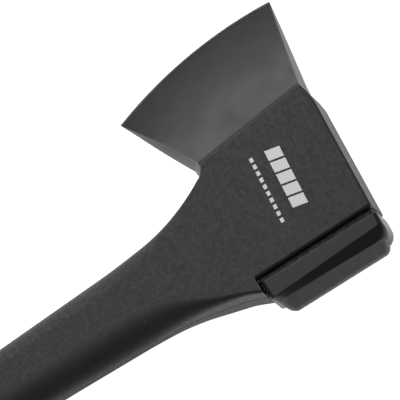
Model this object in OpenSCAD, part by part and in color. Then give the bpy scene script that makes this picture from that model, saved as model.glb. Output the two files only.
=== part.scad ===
// Splitting maul with a forged head moulded into a plastic handle, lying on its side.
// X runs along the handle towards the top of the head, Y towards the cutting edge, Z up through the cheeks.
// The origin is under the middle of the whole tool, on the surface that it lies on.

/* [Overall] */
// Length from the end of the butt to the toe of the blade
overall_length = 720; // [640:10:860]
// Thickness of the housing across its cheeks
housing_t = 28; // [26:0.5:32]

/* [Blade] */
// Straight distance from heel to toe of the cutting edge
edge_chord = 111.6; // [100:1:120]
// How far the cutting edge bulges beyond that straight line
edge_bulge = 6.2; // [4:0.2:9]
// Distance from the handle's axis to the middle of that straight line
edge_reach = 101.6; // [98:0.2:106]
// Angle by which the toe stands further forward than the heel
edge_lean = 5.1; // [3:0.1:7]
// Thickness of the steel where it enters the housing
waist_t = 21; // [18:0.5:22]

/* [Poll] */
// Distance from the handle's axis to the crest of the striking face
poll_reach = 59.8; // [57.5:0.5:62]
// Height of the collar, along the handle
collar_h = 75.6; // [73:0.2:76]
// Height of the striking block
block_h = 69.4; // [66:0.2:70]
// Thickness of the collar
collar_t = 26.4; // [25:0.2:27]
// Thickness of the striking block
block_t = 19.6; // [18:0.2:22]

/* [Handle] */
// Thickness of the shaft
shaft_t = 26; // [24:0.5:27]
// Length of the soft sleeve
grip_len = 210; // [160:5:240]
// Wall of the soft sleeve
grip_wall = 2.2; // [1.6:0.1:2.6]
// Inner diameter of the hanging hole
hang_d = 8; // [6:0.5:10]

/* [Hidden] */
$fn = 96;

// In what follows x = 0 is the middle of the head's height, y = 0 the handle's axis, z = 0 the middle plane.

// Cutting edge: an arc about edge_c
edge_r = (pow(edge_chord / 2, 2) + pow(edge_bulge, 2)) / (2 * edge_bulge);
edge_mid = [-2.4, edge_reach];
edge_c = edge_mid + (edge_r - edge_bulge) * [sin(edge_lean), -cos(edge_lean)];
toe = edge_mid + edge_chord / 2 * [cos(edge_lean), sin(edge_lean)];
heel = 2 * edge_mid - toe;
micro_bevel = 1.3;
edge_half = 0.25;

// Corners of the housing's outline, and the level of its seam to the poll at the lower end
front_low = [-28.5, 44.5];
front_high = [43, 49.5];
top_front = [45.2, 38.5];
top_rear = [39.8, -36.4];
neck_front = [-33, 37.5];
housing_low = -46;
housing_chamfer = 1.2;
seam_low_y = -33.2;

// Waist of the steel, hidden in the housing
waist_top = [[43.2, 49.5], [34, -44]];
waist_low = [[-34.4, 46.5], [-29, -44]];
window_d = 15;
window_y = [22, -12];

// Poll: turned a little, so that its top end reaches further back
poll_turn = 2.9;
collar_front = 38.2;
collar_depth = 10.1;
cove = 4.8;
step_y = collar_front + collar_depth;
poll_low = -34.6;
block_low = poll_low + 2;
corner_r = [10, 7];
end_step = 2.4;
crest_half = 1.6;
outline_over = 1;

// Bedding in the seam and under the collar
bed_recess = 1.8;

// Print on the cheek: a bar, and a thin row beside it, both along the housing's top
print_mid = [7.4, 5.8];
print_turn = 5.3;
print_bar = [9.4, 40];
print_row = [2.4, 44];
print_row_off = 13.3;
print_t = 0.2;

// Handle
butt_x = toe[0] - overall_length;
cap_len = 9;
cap_x = butt_x + cap_len;
grip_end_x = cap_x + grip_len;
shoulder_x = -38.2;
core_size = [24, 13];
core_from = butt_x + 44;
core_to = -52;
hang_x = butt_x + 25;
hang_y = 5;
hang_wall = 1.2;
hang_flange = 2.2;
hang_flange_t = 1;

// Places the whole tool with the origin under its middle
y_max = edge_c[1] + edge_r;
crest_end = block_low + block_h - corner_r[1]
    + sqrt(pow(corner_r[1], 2) - pow(corner_r[1] - outline_over, 2));
y_min = -(crest_end * sin(poll_turn) + poll_reach * cos(poll_turn));
z_half = housing_t / 2;
module place() translate([-(toe[0] + butt_x) / 2, -(y_max + y_min) / 2, z_half]) children();

// 0 at a, 1 at b, smooth in between
function ease(x, a, b) = let(t = min(1, max(0, (x - a) / (b - a)))) t * t * (3 - 2 * t);

// Rise of a line that bends away from the axis by angle, round an arc of radius r, d past the arc's start
function bend(d, angle, r) =
    d <= 0 ? 0
    : d < r * sin(angle) ? r - sqrt(r * r - d * d)
    : r * (1 - cos(angle)) + (d - r * sin(angle)) * tan(angle);

// How far the handle reaches to the front, to the rear, and to each side at x
function front_y(x) = 24.5 - 5.3 * ease(x, -190, -400) + 2 * ease(x, -430, -520)
    + 9 * ease(x, butt_x + 62, butt_x + 16) + bend(x + 84, 26, 100);
function rear_y(x) = 19 - 2 * ease(x, -260, -420) + 3.2 * ease(x, butt_x + 70, butt_x + 14)
    + bend(x + 245, 4.3, 1200) + bend(x + 95, 12, 130) + bend(x + 52, 12, 30);
function half_t(x) = shaft_t / 2
    + (housing_t - shaft_t) / 2 * max(ease(x, -120, -60), ease(x, butt_x + 70, butt_x + 30));
function corner(x) = 11.5 - 9.3 * ease(x, -115, -38);

// Ring of points round the handle at x, pulled in by inset all round
ring_arc = 8;
function ring(x, inset) =
    let(f = front_y(x) - inset, r = rear_y(x) - inset, h = half_t(x) - inset, c = corner(x) - min(inset, 2))
    [for (q = [[f - c, h - c, 0], [c - r, h - c, 90], [c - r, c - h, 180], [f - c, c - h, 270]],
          i = [0 : ring_arc - 1])
        let(a = q[2] + 90 * i / (ring_arc - 1)) [x, q[0] + c * cos(a), q[1] + c * sin(a)]];

// Solid through rings of n points each, closed with flat ends; the rings run towards +X
module skin(rings) {
    n = len(rings[0]);
    last = len(rings) - 1;
    polyhedron(
        points = [for (r = rings, p = r) p],
        faces = concat(
            [[for (i = [0 : n - 1]) i]],
            [for (k = [0 : last - 1], i = [0 : n - 1])
                let(j = (i + 1) % n) [k * n + i, (k + 1) * n + i, (k + 1) * n + j, k * n + j]],
            [[for (i = [n - 1 : -1 : 0]) last * n + i]]),
        convexity = 6);
}

// Tube between two sets of rings, open inside and with flat ends
module tube(outer, inner) {
    n = len(outer[0]);
    last = len(outer) - 1;
    base = n * len(outer);
    polyhedron(
        points = concat([for (r = outer, p = r) p], [for (r = inner, p = r) p]),
        faces = concat(
            [for (k = [0 : last - 1], i = [0 : n - 1])
                let(j = (i + 1) % n) [k * n + i, (k + 1) * n + i, (k + 1) * n + j, k * n + j]],
            [for (k = [0 : last - 1], i = [0 : n - 1])
                let(j = (i + 1) % n)
                [base + k * n + j, base + (k + 1) * n + j, base + (k + 1) * n + i, base + k * n + i]],
            [for (i = [0 : n - 1]) let(j = (i + 1) % n) [i, j, base + j, base + i]],
            [for (i = [0 : n - 1]) let(j = (i + 1) % n)
                [base + last * n + i, base + last * n + j, last * n + j, last * n + i]]),
        convexity = 8);
}

// Stations from a to b, about step apart
function stations(a, b, step) = let(n = ceil(abs(b - a) / step)) [for (i = [0 : n]) a + (b - a) * i / n];

// Blade: a wedge turned about the centre of the cutting edge, cut to the blade's outline
module blade() {
    depth = y_max - front_low[1] + 14;
    half = waist_t / 2;
    convex = 0.9;
    cheek = [for (t = [0 : 0.125 : 1])
        [edge_r - micro_bevel - (depth - micro_bevel) * t, 0.75 + (half - 0.75) * t + convex * 4 * t * (1 - t)]];
    intersection() {
        translate([edge_c[0], edge_c[1], 0]) rotate([0, 0, 60]) rotate_extrude(angle = 60, $fn = 360)
            polygon(concat([[edge_r, edge_half]], cheek,
                           [for (i = [len(cheek) - 1 : -1 : 0]) [cheek[i][0], -cheek[i][1]]], [[edge_r, -edge_half]]));
        linear_extrude(housing_t, center = true)
            polygon([heel, waist_low[0], [waist_low[0][0], 40], [waist_top[0][0] - 2, 40], waist_top[0], toe,
                     [toe[0], y_max + 5], [heel[0], y_max + 5]]);
    }
}

// Waist: the plain block between blade and poll, with two windows that the plastic fills
module waist() {
    difference() {
        linear_extrude(waist_t, center = true)
            polygon([waist_low[0], waist_low[1], waist_top[1], waist_top[0]]);
        for (y = window_y) translate([4, y, 0]) cylinder(d = window_d, h = housing_t, center = true);
    }
}

// Half of the poll's section as [reach to the rear, half thickness]
function poll_section() =
    let(c = collar_t / 2, b = block_t / 2)
    [[collar_front, 0], [collar_front, c - 0.8], [collar_front + 0.8, c], [step_y, c], [step_y + cove, b],
     [poll_reach, crest_half]];

// Outline of the poll seen from the side: the collar, the step all round, and the block with its round corners
function poll_outline() =
    let(rear = -poll_reach - outline_over, top = block_low + block_h,
        c0 = [block_low + corner_r[0], rear + corner_r[0]], c1 = [top - corner_r[1], rear + corner_r[1]])
    concat([[poll_low, -collar_front + 1], [poll_low, -step_y], [block_low, -step_y - cove]],
           [for (i = [0 : 6]) c0 + corner_r[0] * [cos(180 + 15 * i), sin(180 + 15 * i)]],
           [for (i = [0 : 6]) c1 + corner_r[1] * [cos(270 + 15 * i), sin(270 + 15 * i)]],
           [[top, -step_y - cove], [top + end_step, -step_y], [poll_low + collar_h, -step_y],
            [poll_low + collar_h, -collar_front + 1]]);

// Poll: collar and striking block in one, its section run along X and cut to its outline
module poll() {
    half = poll_section();
    last = len(half) - 1;
    rotate([0, 0, -poll_turn]) intersection() {
        rotate([90, 0, 90]) translate([0, 0, poll_low - 1]) linear_extrude(collar_h + 2)
            polygon(concat([for (p = half) [-p[0], p[1]]],
                           [for (i = [last : -1 : 1]) [-half[i][0], -half[i][1]]]));
        linear_extrude(housing_t, center = true) polygon(poll_outline());
    }
}

module steel_head() {
    color("#2b2c2e") union() {
        blade();
        waist();
        poll();
    }
}

// Outline of the housing, seen on the cheek
function housing_outline() = [
    [housing_low, seam_low_y], [poll_low, seam_low_y], top_rear, top_front, front_high, front_low, neck_front,
    [housing_low, 31]];

module housing() {
    hull() {
        linear_extrude(housing_t - 2 * housing_chamfer, center = true) polygon(housing_outline());
        linear_extrude(housing_t, center = true) offset(delta = -housing_chamfer) polygon(housing_outline());
    }
}

module core_bar() {
    translate([core_from, -core_size[0] / 2, 0]) rotate([90, 0, 90])
        linear_extrude(core_to - core_from) translate([core_size[0] / 2, 0])
            hull() for (s = [-1, 1]) translate([s * (core_size[0] - core_size[1]) / 2, 0]) circle(d = core_size[1]);
}

module hang_bore(d) {
    translate([hang_x, hang_y, 0]) cylinder(d = d, h = housing_t + 2, center = true);
}

module handle_shell() {
    shaft = concat(
        [for (x = stations(cap_x, grip_end_x, 12)) ring(x, grip_wall)],
        [for (x = stations(grip_end_x + 0.01, -125, 20)) ring(x, 0)],
        [for (x = stations(-118, shoulder_x, 8)) ring(x, 0)]);
    color("#333437") difference() {
        union() {
            skin(shaft);
            housing();
        }
        waist();
        blade();
        core_bar();
        hang_bore(hang_d + 2 * hang_wall);
    }
}

// Adhesive round the waist in the seam, and the pad of it under the collar
module bedding() {
    color("#161618") difference() {
        linear_extrude(collar_t - 2 * bed_recess, center = true) polygon([
            [shoulder_x, seam_low_y], [poll_low, seam_low_y], top_rear - [bed_recess, 0.1],
            [top_rear[0] - bed_recess, -collar_front - 4], [poll_low + 2, -collar_front - 2],
            [poll_low + 1, seam_low_y - 11], [shoulder_x, seam_low_y - 11]]);
        waist();
        poll();
        housing();
    }
}

module fibre_core() {
    color("#c9b98a") core_bar();
}

module grip_sleeve() {
    xs = stations(cap_x, grip_end_x, 12);
    color("#1f2022") difference() {
        tube([for (x = xs) ring(x, 0)], [for (x = xs) ring(x, grip_wall)]);
        hang_bore(hang_d + 2 * hang_wall);
    }
}

module butt_cap() {
    color("#333437") skin([for (s = [[0, 3], [0.35, 1], [1.2, 0.3], [2.4, 0], [cap_len, 0]])
        ring(butt_x + s[0], s[1])]);
}

module hang_eyelet() {
    half = half_t(hang_x);
    color("silver") translate([hang_x, hang_y, 0]) rotate_extrude() translate([hang_d / 2, 0]) polygon([
        [0, -half], [hang_flange, -half], [hang_flange, hang_flange_t - half], [hang_wall, hang_flange_t - half],
        [hang_wall, half - hang_flange_t], [hang_flange, half - hang_flange_t], [hang_flange, half], [0, half]]);
}

module cheek_print() {
    color("white") translate([print_mid.x, print_mid.y, housing_t / 2]) rotate(-print_turn) {
        cube([print_bar.x, print_bar.y, print_t], center = true);
        translate([-print_row_off, 0, 0]) cube([print_row.x, print_row.y, print_t], center = true);
    }
}

place() steel_head();
place() handle_shell();
place() bedding();
place() fibre_core();
place() grip_sleeve();
place() butt_cap();
place() hang_eyelet();
place() cheek_print();
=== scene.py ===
"""Splitting maul: the looks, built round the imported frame, in metres and in the frame's own axes.

Shapes are worked out in millimetres in the design's own place: x = 0 at the middle of the head's height,
y = 0 on the handle's axis and z = 0 in the middle plane. spot() carries such a point into the frame.
"""

import math
import random

import bmesh
import bpy
from mathutils import Matrix, Vector


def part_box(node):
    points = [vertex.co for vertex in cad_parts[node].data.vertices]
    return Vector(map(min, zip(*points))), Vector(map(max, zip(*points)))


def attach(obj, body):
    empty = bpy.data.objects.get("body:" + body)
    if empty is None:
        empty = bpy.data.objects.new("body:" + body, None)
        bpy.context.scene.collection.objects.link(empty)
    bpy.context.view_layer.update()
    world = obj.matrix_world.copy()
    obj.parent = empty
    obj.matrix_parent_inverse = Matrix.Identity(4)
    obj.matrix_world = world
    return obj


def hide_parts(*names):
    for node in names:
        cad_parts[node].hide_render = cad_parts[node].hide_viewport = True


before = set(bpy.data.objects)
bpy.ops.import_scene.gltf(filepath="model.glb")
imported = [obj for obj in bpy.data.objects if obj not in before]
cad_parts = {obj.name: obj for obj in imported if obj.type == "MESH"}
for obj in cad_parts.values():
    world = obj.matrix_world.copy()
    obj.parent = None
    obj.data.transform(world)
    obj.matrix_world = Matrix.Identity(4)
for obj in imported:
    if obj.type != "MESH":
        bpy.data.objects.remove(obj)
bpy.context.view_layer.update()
MM = 0.001

# ---------------------------------------------------------------- driving dimensions, as in the CAD model

OVERALL_LENGTH = 720.0
HOUSING_T = 28.0
HOUSING_HALF = HOUSING_T / 2
SHAFT_T = 26.0
EDGE_CHORD = 111.6
EDGE_BULGE = 6.2
EDGE_LEAN = math.radians(5.1)
EDGE_MID = Vector((-2.4, 101.6))
WAIST_HALF = 10.5

EDGE_R = ((EDGE_CHORD / 2) ** 2 + EDGE_BULGE**2) / (2 * EDGE_BULGE)
EDGE_C = EDGE_MID + (EDGE_R - EDGE_BULGE) * Vector((math.sin(EDGE_LEAN), -math.cos(EDGE_LEAN)))
TOE = EDGE_MID + EDGE_CHORD / 2 * Vector((math.cos(EDGE_LEAN), math.sin(EDGE_LEAN)))
BUTT_X = TOE.x - OVERALL_LENGTH
CAP_X = BUTT_X + 9
GRIP_END_X = CAP_X + 210
SHOULDER_X = -38.2
HANG = Vector((BUTT_X + 25, 5))
HANG_R = 4.0
EYELET_WALL = 1.2
EYELET_FLANGE = 2.2

# Where the design's zero lies in the frame
HEAD_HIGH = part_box("steel_head")[1]
ZERO = Vector((HEAD_HIGH.x - TOE.x * MM, HEAD_HIGH.y - (EDGE_C.y + EDGE_R) * MM, HOUSING_HALF * MM))


def spot(x, y, z):
    """A design point in millimetres as a frame point in metres."""
    return ZERO + Vector((x, y, z)) * MM


# ---------------------------------------------------------------- camera

# It looks down on the near cheek, tilted towards the poll and a little towards the top of the head.
TILT_REAR = math.radians(21.5)
TILT_TOP = math.radians(6.3)
ROLL = math.radians(35.0)
DISTANCE = 3.0
VIEW_WIDTH = 0.228
AIM = spot(-42.1, 30.7, 0)


def make_camera():
    back = Vector((math.sin(TILT_TOP), -math.sin(TILT_REAR), 0.0))
    back.z = math.sqrt(1 - back.length_squared)
    along = (Vector((1, 0, 0)) - back * back.x).normalized()
    across = back.cross(along)
    right = along * math.cos(ROLL) - across * math.sin(ROLL)
    up = along * math.sin(ROLL) + across * math.cos(ROLL)
    data = bpy.data.cameras.new("camera")
    data.sensor_width = 36
    data.lens = 36 * DISTANCE / VIEW_WIDTH
    data.clip_end = 20
    camera = bpy.data.objects.new("camera", data)
    rotation = Matrix((right, up, back)).transposed().to_4x4()
    camera.matrix_world = Matrix.Translation(AIM + back * DISTANCE) @ rotation
    bpy.context.scene.collection.objects.link(camera)
    bpy.context.scene.camera = camera


# ---------------------------------------------------------------- curves that the handle follows


def ease(x, a, b):
    """0 at a, 1 at b, smooth in between."""
    t = min(1.0, max(0.0, (x - a) / (b - a)))
    return t * t * (3 - 2 * t)


def bend(d, angle, r):
    """Rise of a line that bends away by angle degrees round an arc of radius r, d past the arc's start."""
    turn = math.radians(angle)
    if d <= 0:
        return 0.0
    if d < r * math.sin(turn):
        return r - math.sqrt(r * r - d * d)
    return r * (1 - math.cos(turn)) + (d - r * math.sin(turn)) * math.tan(turn)


def front_y(x):
    taper = 24.5 - 5.3 * ease(x, -190, -400) + 2 * ease(x, -430, -520)
    return taper + 9 * ease(x, BUTT_X + 62, BUTT_X + 16) + bend(x + 84, 26, 100)


def rear_y(x):
    taper = 19 - 2 * ease(x, -260, -420) + 3.2 * ease(x, BUTT_X + 70, BUTT_X + 14)
    return taper + bend(x + 245, 4.3, 1200) + bend(x + 95, 12, 130) + bend(x + 52, 12, 30)


def half_t(x):
    swell = max(ease(x, -120, -60), ease(x, BUTT_X + 70, BUTT_X + 30))
    return SHAFT_T / 2 + (HOUSING_T - SHAFT_T) / 2 * swell


def corner(x):
    return 11.5 - 9.3 * ease(x, -115, -38)


# ---------------------------------------------------------------- mesh helpers


def spread(a, b, n):
    """n + 1 values from a to b, evenly."""
    return [a + (b - a) * i / n for i in range(n + 1)]


def arc(cx, cy, r, start, stop, n):
    """n + 1 points on an arc, in degrees."""
    return [
        (cx + r * math.cos(math.radians(t)), cy + r * math.sin(math.radians(t)))
        for t in spread(start, stop, n)
    ]


def ladder_cap(bm, ring):
    """Closes a ring whose two halves mirror each other with strips across it, in place of one big face."""
    n = len(ring)
    for i in range(n // 2):
        corners = [ring[i], ring[i + 1], ring[n - i - 1], ring[(n - i) % n]]
        bm.faces.new(list(dict.fromkeys(corners)))


def loft(rings, mesh=None, ladder=False):
    """Faces between closed rings of equally many points, closed at both ends.

    With ladder, strips close the last ring in place of one big face.
    """
    bm = mesh or bmesh.new()
    rows = [[bm.verts.new(p) for p in ring] for ring in rings]
    n = len(rings[0])
    for low, high in zip(rows, rows[1:]):
        for i in range(n):
            j = (i + 1) % n
            bm.faces.new((low[i], high[i], high[j], low[j]))
    bm.faces.new(rows[0])
    if ladder:
        ladder_cap(bm, rows[-1])
    else:
        bm.faces.new(rows[-1][::-1])
    return bm


def finish_mesh(name, bm, sharp=50):
    """Makes an object of a bmesh, smooth but for the edges sharper than the angle in degrees."""
    bmesh.ops.recalc_face_normals(bm, faces=bm.faces)
    data = bpy.data.meshes.new(name)
    bm.to_mesh(data)
    bm.free()
    data.shade_smooth()
    data.set_sharp_from_angle(angle=math.radians(sharp))
    piece = bpy.data.objects.new(name, data)
    bpy.context.scene.collection.objects.link(piece)
    return piece


def shade(piece, sharp):
    """Shades a piece smooth again after a cut, but for the edges sharper than the angle in degrees."""
    piece.data.shade_smooth()
    piece.data.set_sharp_from_angle(angle=math.radians(sharp))


def weigh_normals(piece):
    modifier = piece.modifiers.new("normals", "WEIGHTED_NORMAL")
    modifier.keep_sharp = True
    modifier.weight = 80


def cut(piece, tool, operation="DIFFERENCE"):
    """Applies a boolean and removes the tool."""
    modifier = piece.modifiers.new("cut", "BOOLEAN")
    modifier.object = tool
    modifier.operation = operation
    modifier.solver = "EXACT"
    bpy.context.view_layer.update()
    evaluated = piece.evaluated_get(bpy.context.evaluated_depsgraph_get())
    old = piece.data
    piece.data = bpy.data.meshes.new_from_object(evaluated)
    piece.modifiers.clear()
    bpy.data.meshes.remove(old)
    bpy.data.objects.remove(tool)


def add(piece, material, slot, *nodes):
    """Gives a piece its material, lets it stand for CAD nodes, and fixes it to the one body; slot is not
    used.
    """
    piece.data.materials.clear()
    piece.data.materials.append(material)
    if nodes:
        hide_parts(*nodes)
    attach(piece, "root")


# ---------------------------------------------------------------- handle shell

PARTING_W = 0.45
PARTING_H = 0.25
CHEEK_CUTS = 14
CORNER_CUTS = 12


def rear_stretch(x):
    """How much longer than high the rear corners of the section are: oval on the shaft, round at its ends."""
    return 1 + 0.6 * ease(x, -45, -90) * ease(x, -430, -330)


def handle_section(low, high, half, r, rise=lambda t: 0.0):
    """Ring in the plane that stands on the line from the rear point low to the front point high.

    rise moves a point along X, by how far it is along that line, from 0 to 1.
    """
    oval = rear_stretch(low[0])
    low, high = Vector(low), Vector(high)
    width = (high - low).length
    side = spread(PARTING_W, max(PARTING_W + 0.1, half - r), 4)[:-1]
    outline = [(-PARTING_H, 0)] + [(0, s) for s in side]
    outline += [(a * oval, z) for a, z in arc(r, half - r, r, 180, 90, CORNER_CUTS)]
    outline += [(a, half) for a in spread(r * oval, width - r, CHEEK_CUTS)[1:-1]]
    outline += arc(width - r, half - r, r, 90, 0, CORNER_CUTS)
    outline += [(width, s) for s in reversed(side)]
    outline.append((width + PARTING_H, 0))
    outline += [(a, -z) for a, z in outline[-2:0:-1]]
    ring = []
    for a, z in outline:
        p = low + (high - low) * (a / width)
        ring.append(spot(p.x + rise(a / width), p.y, z))
    return ring


SEAM_LOW_Y = -33.2
SEAM_SLOPE = -0.0417
FRONT_LOW = Vector((-28.5, 44.5))
FRONT_HIGH = Vector((43.0, 49.5))
TOP_REAR_X = 39.8
TOP_EDGE_R = 1.4
HOUSING_CORNER = 1.9
GRIP_WALL = 2.2


def seam_y(x):
    return SEAM_LOW_Y + SEAM_SLOPE * (x - SHOULDER_X)


def top_rise(t):
    """How far the top face stands out from the straight line between its two ends."""
    peak = 0.875
    return 2.5 * (t / peak if t < peak else (1 - t) / (1 - peak))


def shell_rings():
    rings = []
    xs = spread(CAP_X, GRIP_END_X, 30) + spread(GRIP_END_X + 0.3, -130, 34) + spread(-127, -41, 30)
    for x in xs:
        inset = GRIP_WALL if x <= GRIP_END_X else 0.0
        low, high = (x, -rear_y(x) + inset), (x, front_y(x) - inset)
        rings.append(handle_section(low, high, half_t(x) - inset, corner(x) - inset * 0.9))
    # the shoulder under the collar, with its edge just broken
    for x, drop in ((-39.2, 0), (-38.6, 0.15), (-38.25, 0.8)):
        low, high = (x, -rear_y(x) + drop), (x - 0.4, front_y(x - 0.4))
        rings.append(handle_section(low, high, HOUSING_HALF, corner(x)))
    for x, lift in ((-38.2, 1.0), (-37.9, 0.2), (-37.0, 0)):
        low = (x, seam_y(x) - lift)
        rings.append(handle_section(low, (x, front_y(x)), HOUSING_HALF, HOUSING_CORNER))
    # round the lower front corner
    lower_front = [(-33, 38.1), (-31, 40.9), (-29.3, 43.4), (-28.5, 44.3), (-27.2, 44.6)]
    for i, high in enumerate(lower_front):
        x = -33.5 + 1.5 * i
        rings.append(handle_section((x, seam_y(x)), high, HOUSING_HALF, HOUSING_CORNER))
    # up the housing, with its end swelling into the top face
    steps = 10
    for i in range(1, steps + 1):
        t = i / steps
        high = FRONT_LOW.lerp(FRONT_HIGH, (t * 0.95 + 0.05) * (1 - TOP_EDGE_R / 71.5))
        x = -26 + (TOP_REAR_X - TOP_EDGE_R + 26) * t
        rings.append(handle_section(
            (x, seam_y(x)), high, HOUSING_HALF, HOUSING_CORNER, lambda q, t=t: top_rise(q) * t**3))
    for turn in spread(0, 90, 5)[1:]:
        inset = TOP_EDGE_R * (1 - math.cos(math.radians(turn)))
        back = TOP_EDGE_R * (1 - math.sin(math.radians(turn)))
        low = (TOP_REAR_X - back, seam_y(TOP_REAR_X) + inset)
        high = (FRONT_HIGH.x - back, FRONT_HIGH.y - inset)
        rings.append(handle_section(low, high, HOUSING_HALF - inset, HOUSING_CORNER - inset * 0.9, top_rise))
    return rings


def prism(outline, z0, z1):
    """A plain block over an outline in the design's XY plane."""
    return loft([[spot(x, y, z) for x, y in outline] for z in (z0, z1)])


def tool(bm):
    bmesh.ops.recalc_face_normals(bm, faces=bm.faces)
    data = bpy.data.meshes.new("tool")
    bm.to_mesh(data)
    bm.free()
    obj = bpy.data.objects.new("tool", data)
    bpy.context.scene.collection.objects.link(obj)
    return obj


def rod(x, y, r, n=64):
    """A cylinder through the whole thickness, to cut a round hole."""
    return tool(prism(arc(x, y, r, 0, 360 * (n - 1) / n, n - 1), -20, 20))


def front_lip(bm, side):
    """Thin flash of plastic where the steel comes out of the housing, on one cheek of it."""
    low, high = Vector((-27.5, 44.6)), Vector((42.4, 49.4))
    across = Vector((-(high - low).y, (high - low).x)).normalized()
    profile = [
        (-1.0, WAIST_HALF - 0.1), (1.9, WAIST_HALF - 0.1), (1.6, WAIST_HALF + 0.12), (-1.0, WAIST_HALF + 0.8)]
    rings = []
    for t in spread(0, 1, 24):
        p = low.lerp(high, t)
        rings.append([spot(p.x + across.x * out, p.y + across.y * out, side * z) for out, z in profile])
    loft(rings, bm)


def make_shell():
    piece = finish_mesh("handle_moulding", loft(shell_rings(), ladder=True))
    slot_outline = [(-34.8, 60), (-34.8, 46.5), (-33.2, 20), (40.6, 20), (43.6, 49.5), (44.6, 60)]
    slot_half = WAIST_HALF + 0.35
    cut(piece, tool(prism(slot_outline, -slot_half, slot_half)))
    cut(piece, rod(HANG.x, HANG.y, HANG_R + EYELET_WALL))
    lips = bmesh.new()
    for side in (-1, 1):
        front_lip(lips, side)
    cut(piece, tool(lips), "UNION")
    shade(piece, 40)
    weigh_normals(piece)
    return piece


# ---------------------------------------------------------------- steel head

WAIST_LOW = Vector((-34.4, 46.5))
WAIST_TOP = Vector((43.2, 49.5))
MICRO_BEVEL = 1.3
BEVEL_HALF = 0.75
EDGE_HALF = 0.12
BELLY = 0.9
HEEL_BEVEL = 5.0
TOE_BEVEL = 2.0
CHEEK_COLUMNS = 40
SIDE_CUTS = 8
SIDE_POWER = 1.15
# Share of the toe's and the heel's bevel that stands out beyond the straight side
TOE_OUT = 0.6
HEEL_OUT = 0.25
BLADE_DEPTH = 54.0
BARE_BEVEL = 0.08


def blade_half(t):
    """Half thickness of the wedge, t of the way from the micro bevel to the housing."""
    return BEVEL_HALF + (WAIST_HALF - BEVEL_HALF) * t + BELLY * 4 * t * (1 - t)


def edge_point(s):
    """A point of the cutting edge, from heel at 0 to toe at 1."""
    start = (TOE - EDGE_C).angle_signed(Vector((1, 0)))
    heel = 2 * EDGE_MID - TOE
    stop = (heel - EDGE_C).angle_signed(Vector((1, 0)))
    turn = stop + (start - stop) * s
    return EDGE_C + EDGE_R * Vector((math.cos(turn), math.sin(turn)))


def blade_ring(t, depth_in, half, heel_bevel, toe_bevel):
    """Ring round the blade: t of the way in from the edge, then depth_in further down the waist."""
    down = Vector((0.058, -1)) * depth_in
    heel_side = edge_point(0).lerp(WAIST_LOW, t) + down
    toe_side = edge_point(1).lerp(WAIST_TOP, t) + Vector((-0.1, -1)) * depth_in
    width = (toe_side - heel_side).length
    across = (toe_side - heel_side) / width

    def along(a):
        if depth_in:
            return heel_side + across * a
        s = a / width
        return edge_point(s).lerp(WAIST_LOW.lerp(WAIST_TOP, s), t)

    from_heel, to_toe = heel_bevel * (1 - HEEL_OUT), width - toe_bevel * (1 - TOE_OUT)
    near = [along(a) for a in spread(from_heel, to_toe, CHEEK_COLUMNS)]
    ring = [(p, half) for p in near]
    for q in spread(1, -1, SIDE_CUTS)[1:-1]:
        ring.append((toe_side - across * toe_bevel * (abs(q) ** SIDE_POWER - TOE_OUT), half * q))
    ring += [(p, -half) for p in reversed(near)]
    for q in spread(-1, 1, SIDE_CUTS)[1:-1]:
        ring.append((heel_side + across * heel_bevel * (abs(q) ** SIDE_POWER - HEEL_OUT), half * q))
    return [spot(p.x, p.y, z) for p, z in ring]


def blade_rings():
    rings = []
    start = MICRO_BEVEL / BLADE_DEPTH
    for d, half in ((0, EDGE_HALF), (0.45, 0.34), (0.9, 0.56), (MICRO_BEVEL, BEVEL_HALF)):
        bevel = 0.02 + half * 0.1
        rings.append(blade_ring(d / BLADE_DEPTH, 0, half, bevel, bevel))
    for t in (0.015, 0.04, 0.08, 0.14, 0.21, 0.29, 0.38, 0.47, 0.56, 0.65, 0.74, 0.82, 0.9, 0.96, 1.0):
        heel_bevel = 0.1 + HEEL_BEVEL * ease(t, -0.1, 0.75)
        toe_bevel = BARE_BEVEL + (TOE_BEVEL - BARE_BEVEL) * t**0.6
        rings.append(blade_ring(start + (1 - start) * t, 0, blade_half(t), heel_bevel, toe_bevel))
    for depth_in in (1, 20, 50, 86):
        rings.append(blade_ring(1, depth_in, WAIST_HALF, HEEL_BEVEL, TOE_BEVEL))
    return rings


POLL_TURN = math.radians(2.9)
COLLAR = (-34.6, 41.8)
BLOCK = (-31.9, 37.5)
COLLAR_HALF = 13.2
BLOCK_HALF = 9.8
COLLAR_FRONT = 38.2
STEP_Y = 48.3
STEP_SKEW = -0.0506
BLOCK_Y = 53.1
BLOCK_SKEW = 0.0175
CREST_Y = 59.8
CREST_R = 1.0
CREST_HALF = 1.9
OUTLINE_OVER = 0.8
LOW_R, HIGH_R = 10.0, 7.0
RING_CORNER = 7


def poll_point(x, y, z):
    c, s = math.cos(POLL_TURN), math.sin(POLL_TURN)
    return spot(x * c + y * s, y * c - x * s, z)


def poll_ring(y, low, high, half, r, skew=0.0):
    """Rounded rectangle round the poll at y behind the axis, further back by skew for every mm of height."""
    outline = arc(high - r, half - r, r, 0, 90, RING_CORNER)
    outline += [(x, half) for x in spread(high - r, low + r, 20)[1:-1]]
    outline += arc(low + r, half - r, r, 90, 180, RING_CORNER)
    outline += [(low, z) for z in spread(half - r, r - half, 6)[1:-1]]
    outline += arc(low + r, r - half, r, 180, 270, RING_CORNER)
    outline += [(x, -half) for x in spread(low + r, high - r, 20)[1:-1]]
    outline += arc(high - r, r - half, r, 270, 360, RING_CORNER)
    outline += [(high, z) for z in spread(r - half, half - r, 6)[1:-1]]
    return [poll_point(x, -y - skew * x, z) for x, z in outline]


def roof_half(depth):
    """Half thickness of the striking block, which falls from the step to a rounded crest like a roof."""
    run = CREST_Y - BLOCK_Y
    round_off = max(0.0, 1 - (run - depth) / CREST_R)
    return (BLOCK_HALF - (BLOCK_HALF - CREST_HALF) * depth / run) * math.sqrt(1 - 0.94 * round_off**3)


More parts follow.
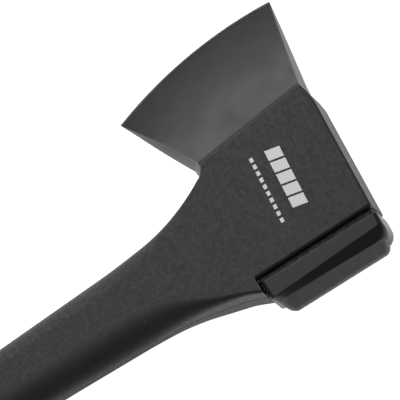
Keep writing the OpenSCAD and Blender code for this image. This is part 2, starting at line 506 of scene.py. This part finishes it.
def poll_rings():
    rings = []
    low, high = COLLAR
    for y, inset in ((0, 0.9), (0.07, 0.55), (0.27, 0.25), (0.6, 0.06), (1.0, 0)):
        rings.append(poll_ring(COLLAR_FRONT + y, low + inset, high - inset, COLLAR_HALF - inset, 2.2))
    rings.append(poll_ring(STEP_Y - 4, low, high, COLLAR_HALF, 2.6, STEP_SKEW * 0.6))
    # the step: a flat bevel to the cheeks, with its first edge just broken, and a round one at the top end
    for t in (-0.08, -0.02, 0.03, 0.09, 0.3, 0.5, 0.65, 0.78, 0.88, 0.95, 0.985, 1.0):
        y = STEP_Y + (BLOCK_Y - STEP_Y) * t
        q = max(0.0, t - 0.01) / 0.99
        skew = STEP_SKEW + (BLOCK_SKEW - STEP_SKEW) * q
        low_end = low + (BLOCK[0] - low) * math.sqrt(q)
        high_end = BLOCK[1] + (high - BLOCK[1]) * math.sqrt(1 - min(1.0, q) ** 2)
        half = COLLAR_HALF + (BLOCK_HALF - COLLAR_HALF) * q
        rings.append(poll_ring(y, low_end, high_end, half, 3.2 + 3.3 * q, skew))
    # the striking block, with round corners seen from the side
    depth = CREST_Y - BLOCK_Y
    for u in spread(0, 0.75, 8)[1:] + [0.8, 0.85, 0.9, 0.94, 0.97, 0.985, 0.995]:
        y = BLOCK_Y + depth * u
        half = roof_half(depth * u)
        ends = []
        for r in (LOW_R, HIGH_R):
            over = max(0.0, y - (CREST_Y + OUTLINE_OVER - r))
            ends.append(r - math.sqrt(max(0.0, r * r - over * over)))
        r = min(6.5, half * 0.75)
        rings.append(poll_ring(y, BLOCK[0] + ends[0], BLOCK[1] - ends[1], half, r, BLOCK_SKEW * (1 - u)))
    return rings


def make_head(coat, ground, block_painted_light):
    """One forging, ground bare along the edge, the toe and the heel, with painted light on the striking
    block: a lighter coat that stands in for the bright floor it reflects.
    """
    piece = finish_mesh("steel_head_forging", loft(blade_rings()))
    cut(piece, tool(loft(poll_rings())), "UNION")
    shade(piece, 33)
    add(piece, coat, "coated_steel", "steel_head")
    piece.data.materials.append(ground)
    piece.data.materials.append(block_painted_light)
    for face in piece.data.polygons:
        at = (face.center - ZERO) / MM
        on_bevel = (at.to_2d() - EDGE_C).length > EDGE_R - MICRO_BEVEL + 0.1
        on_side = abs(face.normal.x) > 0.7
        if at.y > WAIST_LOW.y - 1 and (on_bevel or on_side):
            face.material_index = 1
        # faces of the striking block get the lighter coat: painted light, standing in for the floor's
        # reflection
        elif at.y < -BLOCK_Y - 0.1 - (BLOCK_SKEW + math.tan(POLL_TURN)) * at.x:
            face.material_index = 2
    weigh_normals(piece)


# ---------------------------------------------------------------- bedding

BED_HALF = 11.0
LUMPS = 190


def make_bedding(material):
    """Black adhesive: a plain filling in the seam, and a lumpy bead where it came out under the collar."""
    rng = random.Random(7)
    top_x = TOP_REAR_X - 1.8
    seam = [
        (-37.4, seam_y(-37.4)), (top_x, seam_y(top_x)), (top_x, -41.5),
        (-34.5, -38.5), (-36.2, -44), (-37.6, -44)]
    bm = prism(seam, -BED_HALF, BED_HALF)
    for i in range(LUMPS):
        t = 2 * i / (LUMPS - 1) - 1
        y = -34.4 - 10.2 * rng.random()
        z = t * 12.9
        radius = rng.uniform(0.3, 0.85) * MM
        stretch = Matrix.Diagonal((1, rng.uniform(1.0, 1.8), rng.uniform(0.7, 1.1), 1))
        place = Matrix.Translation(spot(-36.9 + rng.uniform(-0.6, 0.5), y, z)) @ stretch
        bmesh.ops.create_icosphere(bm, subdivisions=2, radius=radius, matrix=place)
    piece = finish_mesh("bedding_adhesive", bm, 60)
    add(piece, material, "adhesive", "bedding")


# ---------------------------------------------------------------- grip, cap and eyelet

RIB_PITCH = 6.5
RIB_DEPTH = 0.9


def grip_dent(x, a, width):
    """Depth of the ribbed palm field below the sleeve's surface, a across a handle that is width deep."""
    field = ease(x, CAP_X + 52, CAP_X + 60) * ease(x, GRIP_END_X - 12, GRIP_END_X - 20)
    across = ease(a / width, 0.16, 0.24) * ease(a / width, 1.02, 0.94)
    wave = 0.5 - 0.5 * math.cos(2 * math.pi * (x + 0.35 * (a - width / 2)) / RIB_PITCH)
    return RIB_DEPTH * field * across * wave**0.6


def grip_ring(x, inset, ribs):
    f, r = front_y(x), rear_y(x)
    width, half, c = f + r, half_t(x), corner(x) - 0.01
    outline = [(0, z) for z in spread(0, half - c, 2)]
    outline += arc(c, half - c, c, 180, 90, 14)[1:]
    outline += [(a, half) for a in spread(c, width - c, 26)[1:-1]]
    outline += arc(width - c, half - c, c, 90, 0, 14)
    outline += [(width, z) for z in spread(half - c, 0, 2)[1:]]
    outline += [(a, -z) for a, z in outline[-2:0:-1]]
    ring = []
    n = len(outline)
    for i, (a, z) in enumerate(outline):
        before, after = outline[i - 1], outline[(i + 1) % n]
        normal = Vector((before[1] - after[1], after[0] - before[0])).normalized()
        dent = inset + (grip_dent(x, a, width) if ribs else 0)
        ring.append(spot(x, a - r - normal.x * dent, z - normal.y * dent))
    return ring


def make_grip():
    broken_edge = ((0, 0.7), (0.15, 0.3), (0.6, 0.02))
    rings = [grip_ring(CAP_X + x, inset, False) for x, inset in broken_edge]
    rings += [grip_ring(x, 0, True) for x in spread(CAP_X + 1.5, GRIP_END_X - 1.5, 300)]
    rings += [grip_ring(GRIP_END_X - x, inset, False) for x, inset in reversed(broken_edge)]
    piece = finish_mesh("grip_sleeve_soft", loft(rings))
    hollow = [grip_ring(x, GRIP_WALL, False) for x in spread(CAP_X - 1, GRIP_END_X + 1, 40)]
    cut(piece, tool(loft(hollow)))
    cut(piece, rod(HANG.x, HANG.y, HANG_R + EYELET_WALL))
    shade(piece, 40)
    return piece


def make_cap():
    dome = ((0, 4.2), (0.06, 3.4), (0.25, 2.5), (0.6, 1.7), (1.1, 1.05), (1.8, 0.5), (2.8, 0.12), (3.8, 0))
    rings = [grip_ring(BUTT_X + x, inset, False) for x, inset in dome]
    rings += [grip_ring(CAP_X - x, inset, False) for x, inset in ((0.6, 0), (0.2, 0.2), (0, 0.6))]
    return finish_mesh("butt_cap_moulded", loft(rings))


def lathe(name, profile, centre, n=96):
    """Turns a closed profile of (radius, height) about a vertical axis."""
    bm = bmesh.new()
    rows = []
    for i in range(n):
        c, s = math.cos(2 * math.pi * i / n), math.sin(2 * math.pi * i / n)
        rows.append([bm.verts.new(spot(centre.x + r * c, centre.y + r * s, z)) for r, z in profile])
    m = len(profile)
    for row, after in zip(rows, rows[1:] + rows[:1]):
        for j in range(m):
            k = (j + 1) % m
            bm.faces.new((row[j], row[k], after[k], after[j]))
    return finish_mesh(name, bm, 40)


def make_eyelet():
    half = half_t(HANG.x)
    lip = [(HANG_R + EYELET_FLANGE, half - 1.0)]
    for t in spread(0.2, math.pi / 2, 6):
        lip.append((HANG_R + 1.5 + 0.7 * math.cos(t), half - 0.7 + 0.7 * math.sin(t)))
    for t in spread(0, math.pi / 2, 6):
        lip.append((HANG_R + 0.8 - 0.8 * math.sin(t), half - 0.8 + 0.8 * math.cos(t)))
    mirrored = [(r, -z) for r, z in reversed(lip)]
    inner = [(HANG_R + EYELET_WALL, -half + 1.0), (HANG_R + EYELET_WALL, half - 1.0)]
    return lathe("hang_eyelet_ring", lip + mirrored + inner, HANG)


# ---------------------------------------------------------------- printed mark

PRINT_MID = Vector((8.0, 7.2))
PRINT_TURN = math.radians(-5.3)
PRINT_T = 0.06
BARS = 5
DASHES = 10


def print_shape(bm, outline):
    """A flat patch of ink on the cheek, from points in the mark's own axes, x along the mark, y across it."""
    c, s = math.cos(PRINT_TURN), math.sin(PRINT_TURN)
    points = [(PRINT_MID.x + y * c + x * s, PRINT_MID.y - x * c + y * s) for x, y in outline]
    loft([[spot(x, y, HOUSING_HALF + z) for x, y in points] for z in (-0.05, PRINT_T)], bm)


def make_print(material):
    """A generic mark: a white bar with slanted gaps, and a row of short dashes beside it."""
    bm = bmesh.new()
    for i in range(BARS):
        x0 = -19.5 + 7.9 * i
        print_shape(bm, [(x0, -4.6), (x0 + 6.6, -4.6), (x0 + 8.2, 4.6), (x0 + 1.6, 4.6)])
    for i in range(DASHES):
        x0 = -20 + 4.5 * i
        print_shape(bm, [(x0, -14.4), (x0 + 2.8, -14.4), (x0 + 2.8, -12.2), (x0, -12.2)])
    piece = finish_mesh("cheek_print_ink", bm, 30)
    add(piece, material, "print_ink", "cheek_print")


# ---------------------------------------------------------------- materials


class Look:
    """A material with its Principled shader, and short ways to add nodes to it."""

    def __init__(self, name):
        self.material = bpy.data.materials.new(name)
        self.material.use_nodes = True
        self.nodes, self.links = self.material.node_tree.nodes, self.material.node_tree.links
        self.shader = self.nodes["Principled BSDF"]
        self.place = self.nodes.new("ShaderNodeTexCoord").outputs["Object"]

    def noise(self, scale, detail=2.0, rough=0.5):
        node = self.nodes.new("ShaderNodeTexNoise")
        node.inputs["Scale"].default_value = scale
        node.inputs["Detail"].default_value = detail
        node.inputs["Roughness"].default_value = rough
        self.links.new(self.place, node.inputs["Vector"])
        return node.outputs["Fac"]

    def cells(self, scale):
        node = self.nodes.new("ShaderNodeTexVoronoi")
        node.inputs["Scale"].default_value = scale
        self.links.new(self.place, node.inputs["Vector"])
        return node.outputs["Distance"]

    def span(self, value, low, high, to_low, to_high):
        """Maps the range low to high of a value onto another range."""
        node = self.nodes.new("ShaderNodeMapRange")
        node.inputs["From Min"].default_value = low
        node.inputs["From Max"].default_value = high
        node.inputs["To Min"].default_value = to_low
        node.inputs["To Max"].default_value = to_high
        self.links.new(value, node.inputs["Value"])
        return node.outputs["Result"]

    def mix(self, fac, a, b):
        """Mixes two colours, each an RGB tuple or the output of a node."""
        node = self.nodes.new("ShaderNodeMix")
        node.data_type = "RGBA"
        self.links.new(fac, node.inputs["Factor"])
        for value, socket in ((a, node.inputs[6]), (b, node.inputs[7])):
            if isinstance(value, tuple):
                socket.default_value = (*value, 1)
            else:
                self.links.new(value, socket)
        return node.outputs[2]

    def tint(self, value, low, high, dark, light):
        """The colour dark where a value is low, and light where it is high."""
        return self.mix(self.span(value, low, high, 0, 1), dark, light)

    def bump(self, height, distance, under=None):
        node = self.nodes.new("ShaderNodeBump")
        node.inputs["Strength"].default_value = 1.0
        node.inputs["Distance"].default_value = distance
        self.links.new(height, node.inputs["Height"])
        if under:
            self.links.new(under, node.inputs["Normal"])
        return node.outputs["Normal"]

    def wire(self, value, socket):
        self.links.new(value, self.shader.inputs[socket])

    def level(self, socket, value):
        """Sets a socket that is the same all over."""
        self.shader.inputs[socket].default_value = value


def plastic(name, dark, light, rough):
    """Glass-filled moulded plastic: a fine eroded grain, faint clouding and a few specks of dust."""
    look = Look(name)
    look.level("Specular IOR Level", 0.44)
    cloud = look.tint(look.noise(45, 3), 0.35, 0.65, dark, light)
    dust = look.span(look.cells(95), 0.035, 0.02, 0, 1)
    look.wire(look.mix(dust, cloud, (0.16, 0.165, 0.17)), "Base Color")
    look.wire(look.span(look.noise(450, 2), 0.3, 0.7, rough - 0.05, rough + 0.06), "Roughness")
    coarse = look.bump(look.noise(720, 2), 0.00004)
    look.wire(look.bump(look.noise(1440, 2, 0.6), 0.00005, coarse), "Normal")
    return look.material


def coated_steel():
    """Smooth low-friction coating over forged steel: soft streaks, a little orange peel."""
    look = Look("coated_steel")
    look.level("Specular IOR Level", 0.24)
    tone = look.tint(look.noise(22, 4), 0.35, 0.65, (0.015, 0.0155, 0.0175), (0.019, 0.0195, 0.0215))
    speck = look.span(look.cells(150), 0.03, 0.018, 0, 1)
    look.wire(look.mix(speck, tone, (0.10, 0.10, 0.10)), "Base Color")
    look.wire(look.span(look.noise(60, 3), 0.3, 0.7, 0.30, 0.37), "Roughness")
    peel = look.bump(look.noise(160, 2), 0.00005)
    look.wire(look.bump(look.noise(1400, 1), 0.000012, peel), "Normal")
    return look.material


def ground_edge():
    """Bare steel, on the ground bevel along the cutting edge and on the ground toe and heel."""
    look = Look("ground_edge")
    look.level("Metallic", 0.25)
    tone = look.tint(look.noise(500, 2), 0.3, 0.7, (0.042, 0.042, 0.039), (0.07, 0.07, 0.066))
    look.wire(tone, "Base Color")
    look.wire(look.span(look.noise(900, 2), 0.3, 0.7, 0.34, 0.46), "Roughness")
    return look.material


def block_coat_painted_light():
    """The same coating on the striking block, rougher, and lighter as painted light that stands in for the
    bright floor it reflects; dark chips dot it.
    """
    look = Look("block_coat_painted_light")
    # painted light: the lighter tone stands in for the floor's reflection on the block
    tone = look.tint(look.noise(90, 4), 0.35, 0.65, (0.058, 0.058, 0.06), (0.072, 0.072, 0.074))
    chip = look.span(look.cells(120), 0.045, 0.03, 0, 1)
    look.wire(look.mix(chip, tone, (0.02, 0.02, 0.021)), "Base Color")
    look.wire(look.span(look.noise(500, 3), 0.3, 0.7, 0.5, 0.66), "Roughness")
    look.wire(look.bump(look.noise(900, 3, 0.6), 0.00005), "Normal")
    return look.material


def adhesive():
    look = Look("adhesive")
    tone = look.tint(look.noise(420, 3), 0.42, 0.62, (0.003, 0.003, 0.0035), (0.012, 0.012, 0.013))
    look.wire(tone, "Base Color")
    look.level("Specular IOR Level", 0.3)
    look.wire(look.span(look.noise(500, 2), 0.3, 0.7, 0.4, 0.75), "Roughness")
    look.wire(look.bump(look.noise(600, 4, 0.7), 0.0002), "Normal")
    return look.material


def soft_rubber():
    look = Look("grip_rubber")
    tone = look.tint(look.noise(70, 3), 0.35, 0.65, (0.014, 0.014, 0.015), (0.022, 0.022, 0.024))
    look.wire(tone, "Base Color")
    look.wire(look.span(look.noise(700, 2), 0.3, 0.7, 0.68, 0.82), "Roughness")
    look.wire(look.bump(look.cells(1500), 0.00006), "Normal")
    return look.material


def glass_fibre():
    look = Look("glass_fibre")
    tone = look.tint(look.noise(250, 3), 0.35, 0.65, (0.55, 0.47, 0.28), (0.68, 0.61, 0.42))
    look.wire(tone, "Base Color")
    look.wire(look.span(look.noise(400, 2), 0.3, 0.7, 0.4, 0.55), "Roughness")
    return look.material


def turned_steel():
    look = Look("eyelet_steel")
    look.level("Metallic", 1.0)
    tone = look.tint(look.noise(300, 2), 0.3, 0.7, (0.50, 0.50, 0.51), (0.62, 0.62, 0.63))
    look.wire(tone, "Base Color")
    look.wire(look.span(look.noise(600, 2), 0.3, 0.7, 0.26, 0.4), "Roughness")
    return look.material


def white_ink():
    """Pad-printing ink: flat white, thin in a few places."""
    look = Look("print_ink")
    tone = look.tint(look.noise(900, 3), 0.62, 0.74, (0.90, 0.90, 0.89), (0.70, 0.70, 0.70))
    look.wire(tone, "Base Color")
    look.wire(look.span(look.noise(900, 2), 0.3, 0.7, 0.45, 0.6), "Roughness")
    return look.material


# ---------------------------------------------------------------- floor and light


def make_floor():
    bm = bmesh.new()
    bmesh.ops.create_grid(bm, x_segments=2, y_segments=2, size=4)
    floor = finish_mesh("floor", bm)
    floor.location.z = -0.0004
    look = Look("floor")
    look.level("Roughness", 0.9)
    look.wire(look.mix(look.noise(3, 2), (0.93, 0.93, 0.93), (0.95, 0.95, 0.95)), "Base Color")
    look.level("Emission Color", (1, 1, 1, 1))
    look.level("Emission Strength", 1.05)
    floor.data.materials.append(look.material)


def area_light(name, at, size, power, aim=(0.3, 0, 0)):
    data = bpy.data.lights.new(name, "AREA")
    data.shape = "RECTANGLE"
    data.size, data.size_y = size
    data.energy = power
    light = bpy.data.objects.new(name, data)
    light.location = at
    light.rotation_euler = (Vector(aim) - Vector(at)).to_track_quat("-Z", "Y").to_euler()
    bpy.context.scene.collection.objects.link(light)


def make_light():
    world = bpy.data.worlds.new("studio")
    world.use_nodes = True
    background = world.node_tree.nodes["Background"]
    background.inputs["Color"].default_value = (0.90, 0.95, 1, 1)
    background.inputs["Strength"].default_value = 0.10
    bpy.context.scene.world = world
    area_light("edge_side", (0.04, 1.15, 1.65), (1.2, 0.4), 19)
    area_light("overhead", (0.3, 0.45, 2.4), (1.2, 0.6), 5)
    area_light("low_rear", (0.3, -2.6, 0.30), (2.4, 0.5), 3)
    area_light("low_front", (0.2, 2.8, 0.8), (2.4, 0.4), 22)
    bpy.context.scene.view_settings.view_transform = "Standard"


# ---------------------------------------------------------------- the object

make_camera()
make_floor()
make_light()

shell_plastic = plastic("shell_plastic", (0.0125, 0.0135, 0.0165), (0.0155, 0.0165, 0.0195), 0.56)
add(make_shell(), shell_plastic, "shell_plastic", "handle_shell")
# the striking block's coat is painted light, a lighter copy standing in for the floor's reflection
make_head(coated_steel(), ground_edge(), block_coat_painted_light())
make_bedding(adhesive())
add(make_grip(), soft_rubber(), "grip_rubber", "grip_sleeve")
cap_plastic = plastic("cap_plastic", (0.024, 0.025, 0.028), (0.03, 0.031, 0.034), 0.5)
add(make_cap(), cap_plastic, "shell_plastic", "butt_cap")
add(make_eyelet(), turned_steel(), "eyelet_steel", "hang_eyelet")
make_print(white_ink())
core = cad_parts["fibre_core"]
core.data.materials.clear()
core.data.materials.append(glass_fibre())
